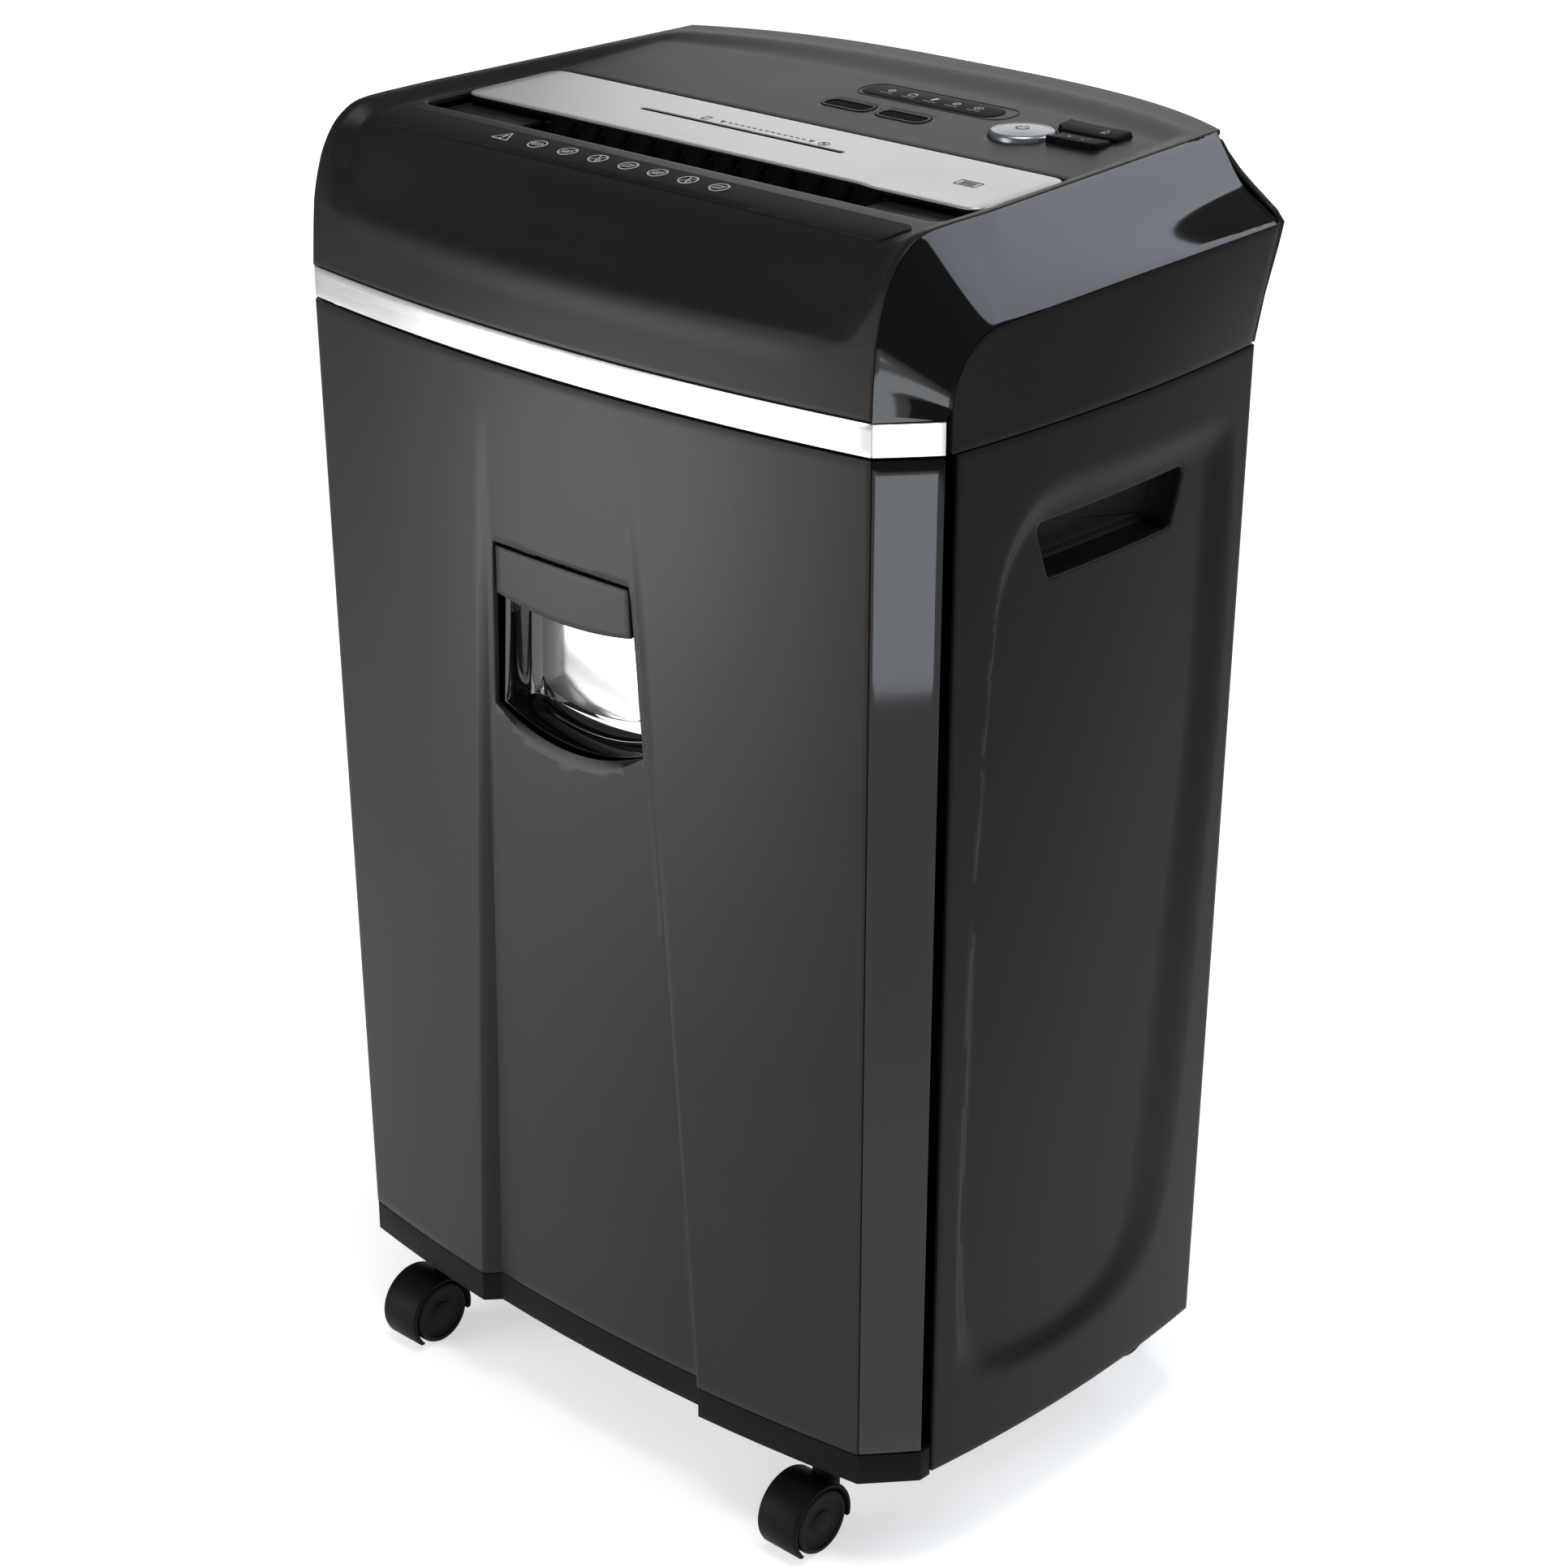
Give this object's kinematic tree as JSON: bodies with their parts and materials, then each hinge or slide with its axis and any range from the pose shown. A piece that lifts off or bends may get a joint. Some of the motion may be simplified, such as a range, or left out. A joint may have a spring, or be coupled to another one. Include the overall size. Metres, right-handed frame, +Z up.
{
  "type": "paper shredder",
  "caption": "Upright cross-cut paper shredder with a pull-out bin, a wide paper slot, a disc slot, top controls and four swivel casters.",
  "frame": {"origin": "on the floor under the middle of the machine", "axes": "+Z up, front with the bin window towards -Y, +X to the right seen from the front"},
  "size_m": [0.4268, 0.3025, 0.6798],
  "materials": {
    "charcoal_plastic": "fine matte texture",
    "black_plastic": "matte",
    "gloss_black": "polished",
    "silver_band": "bright silver plating",
    "satin_plate": "satin",
    "smoke_window": "polished smoke",
    "steel": "oiled",
    "circuit_board": "solder mask",
    "wheel": "smooth hard tread"
  },
  "bodies": {
    "cabinet": {"side_panel_left": "charcoal_plastic", "side_panel_right": "charcoal_plastic", "back_panel": "charcoal_plastic", "base_tray": "black_plastic", "bin_rail_left": "steel", "bin_rail_right": "steel", "head_top_cover": "charcoal_plastic", "head_rear_cover": "charcoal_plastic", "head_side_cover_left": "charcoal_plastic", "head_side_cover_right": "charcoal_plastic", "gloss_trim_left": "gloss_black", "gloss_trim_right": "gloss_black", "silver_band_front": "silver_band", "silver_band_corner_left": "silver_band", "silver_band_corner_right": "silver_band", "head_floor": "black_plastic", "throat_liner": "charcoal_plastic", "throat_plate": "satin_plate", "icon_strip": "black_plastic", "indicator_bar": "black_plastic", "vent_grille_1": "black_plastic", "vent_grille_2": "black_plastic", "control_board": "circuit_board", "cord_inlet": "black_plastic", "cutter_comb_front": "steel", "cutter_comb_rear": "steel", "cutter_plate_left": "steel", "cutter_plate_right": "steel", "tie_rod_front": "steel", "tie_rod_rear": "steel", "gear_guard": "steel", "motor": "steel"},
    "bin": {"bin_front_panel": "charcoal_plastic", "bin_corner_left": "gloss_black", "bin_corner_right": "gloss_black", "bin_tub": "black_plastic", "bin_window": "smoke_window", "bin_grip": "charcoal_plastic"},
    "power_button": {"power_button": "silver_band"},
    "reverse_button": {"reverse_button": "black_plastic"},
    "forward_button": {"forward_button": "black_plastic"},
    "main_switch": {"main_switch_rocker": "black_plastic"},
    "cutter_rear": {"cutter_shaft_rear": "steel", "cutter_gear_rear": "steel"},
    "cutter_front": {"cutter_shaft_front": "steel", "cutter_gear_front": "steel"},
    "idler": {"idler_gear": "steel"},
    "rotor": {"motor_pinion": "steel"},
    "caster_front_left": {"caster_hood_front_left": "black_plastic"},
    "wheel_front_left_outer": {"caster_wheel_front_left_outer": "wheel"},
    "wheel_front_left_inner": {"caster_wheel_front_left_inner": "wheel"},
    "caster_front_right": {"caster_hood_front_right": "black_plastic"},
    "wheel_front_right_outer": {"caster_wheel_front_right_outer": "wheel"},
    "wheel_front_right_inner": {"caster_wheel_front_right_inner": "wheel"},
    "caster_rear_left": {"caster_hood_rear_left": "black_plastic"},
    "wheel_rear_left_outer": {"caster_wheel_rear_left_outer": "wheel"},
    "wheel_rear_left_inner": {"caster_wheel_rear_left_inner": "wheel"},
    "caster_rear_right": {"caster_hood_rear_right": "black_plastic"},
    "wheel_rear_right_outer": {"caster_wheel_rear_right_outer": "wheel"},
    "wheel_rear_right_inner": {"caster_wheel_rear_right_inner": "wheel"}
  },
  "joints": [
    {"name": "bin_slide", "type": "slide", "parent": "cabinet", "child": "bin", "axis": [0, -1, 0], "range_m": [0, 0.24]},
    {"name": "power_press", "type": "slide", "parent": "cabinet", "child": "power_button", "axis": [0, 0, -1], "range_m": [0, 0.0015], "stiffness_N_per_m": 800, "springref_m": -0.0005},
    {"name": "reverse_press", "type": "slide", "parent": "cabinet", "child": "reverse_button", "axis": [0, 0, -1], "range_m": [0, 0.0015], "stiffness_N_per_m": 800, "springref_m": -0.0005},
    {"name": "forward_press", "type": "slide", "parent": "cabinet", "child": "forward_button", "axis": [0, 0, -1], "range_m": [0, 0.0015], "stiffness_N_per_m": 800, "springref_m": -0.0005},
    {"name": "main_switch_tilt", "type": "hinge", "parent": "cabinet", "child": "main_switch", "pos_m": [0.06, 0.14347, 0.612], "axis": [1, 0, 0], "range_deg": [0, 16]},
    {"name": "cutter_rear_spin", "type": "hinge", "parent": "cabinet", "child": "cutter_rear", "pos_m": [-0.13, -0.037, 0.625], "axis": [1, 0, 0], "continuous": true},
    {"name": "cutter_front_spin", "type": "hinge", "parent": "cabinet", "child": "cutter_front", "pos_m": [-0.13, -0.073, 0.625], "axis": [1, 0, 0], "continuous": true},
    {"name": "idler_spin", "type": "hinge", "parent": "cabinet", "child": "idler", "pos_m": [-0.13, 0.00914, 0.62823], "axis": [1, 0, 0], "continuous": true},
    {"name": "rotor_spin", "type": "hinge", "parent": "cabinet", "child": "rotor", "pos_m": [-0.13, 0.04479, 0.62322], "axis": [1, 0, 0], "continuous": true},
    {"name": "caster_front_left_swivel", "type": "hinge", "parent": "cabinet", "child": "caster_front_left", "pos_m": [-0.142, -0.1142, 0.05], "axis": [0, 0, 1], "continuous": true},
    {"name": "wheel_front_left_outer_spin", "type": "hinge", "parent": "caster_front_left", "child": "wheel_front_left_outer", "pos_m": [-0.142, -0.1302, 0.01728], "axis": [1, 0, 0], "continuous": true},
    {"name": "wheel_front_left_inner_spin", "type": "hinge", "parent": "caster_front_left", "child": "wheel_front_left_inner", "pos_m": [-0.142, -0.1302, 0.01728], "axis": [1, 0, 0], "continuous": true},
    {"name": "caster_front_right_swivel", "type": "hinge", "parent": "cabinet", "child": "caster_front_right", "pos_m": [0.142, -0.1142, 0.05], "axis": [0, 0, 1], "continuous": true},
    {"name": "wheel_front_right_outer_spin", "type": "hinge", "parent": "caster_front_right", "child": "wheel_front_right_outer", "pos_m": [0.142, -0.1302, 0.01728], "axis": [1, 0, 0], "continuous": true},
    {"name": "wheel_front_right_inner_spin", "type": "hinge", "parent": "caster_front_right", "child": "wheel_front_right_inner", "pos_m": [0.142, -0.1302, 0.01728], "axis": [1, 0, 0], "continuous": true},
    {"name": "caster_rear_left_swivel", "type": "hinge", "parent": "cabinet", "child": "caster_rear_left", "pos_m": [-0.142, 0.102, 0.05], "axis": [0, 0, 1], "continuous": true},
    {"name": "wheel_rear_left_outer_spin", "type": "hinge", "parent": "caster_rear_left", "child": "wheel_rear_left_outer", "pos_m": [-0.142, 0.118, 0.01728], "axis": [1, 0, 0], "continuous": true},
    {"name": "wheel_rear_left_inner_spin", "type": "hinge", "parent": "caster_rear_left", "child": "wheel_rear_left_inner", "pos_m": [-0.142, 0.118, 0.01728], "axis": [1, 0, 0], "continuous": true},
    {"name": "caster_rear_right_swivel", "type": "hinge", "parent": "cabinet", "child": "caster_rear_right", "pos_m": [0.142, 0.102, 0.05], "axis": [0, 0, 1], "continuous": true},
    {"name": "wheel_rear_right_outer_spin", "type": "hinge", "parent": "caster_rear_right", "child": "wheel_rear_right_outer", "pos_m": [0.142, 0.118, 0.01728], "axis": [1, 0, 0], "continuous": true},
    {"name": "wheel_rear_right_inner_spin", "type": "hinge", "parent": "caster_rear_right", "child": "wheel_rear_right_inner", "pos_m": [0.142, 0.118, 0.01728], "axis": [1, 0, 0], "continuous": true}
  ],
  "couplings": [
    {"joint": "cutter_front_spin", "follows": "cutter_rear_spin", "ratio": -1},
    {"joint": "idler_spin", "follows": "cutter_rear_spin", "ratio": -2.7},
    {"joint": "rotor_spin", "follows": "cutter_rear_spin", "ratio": 9.45}
  ]
}
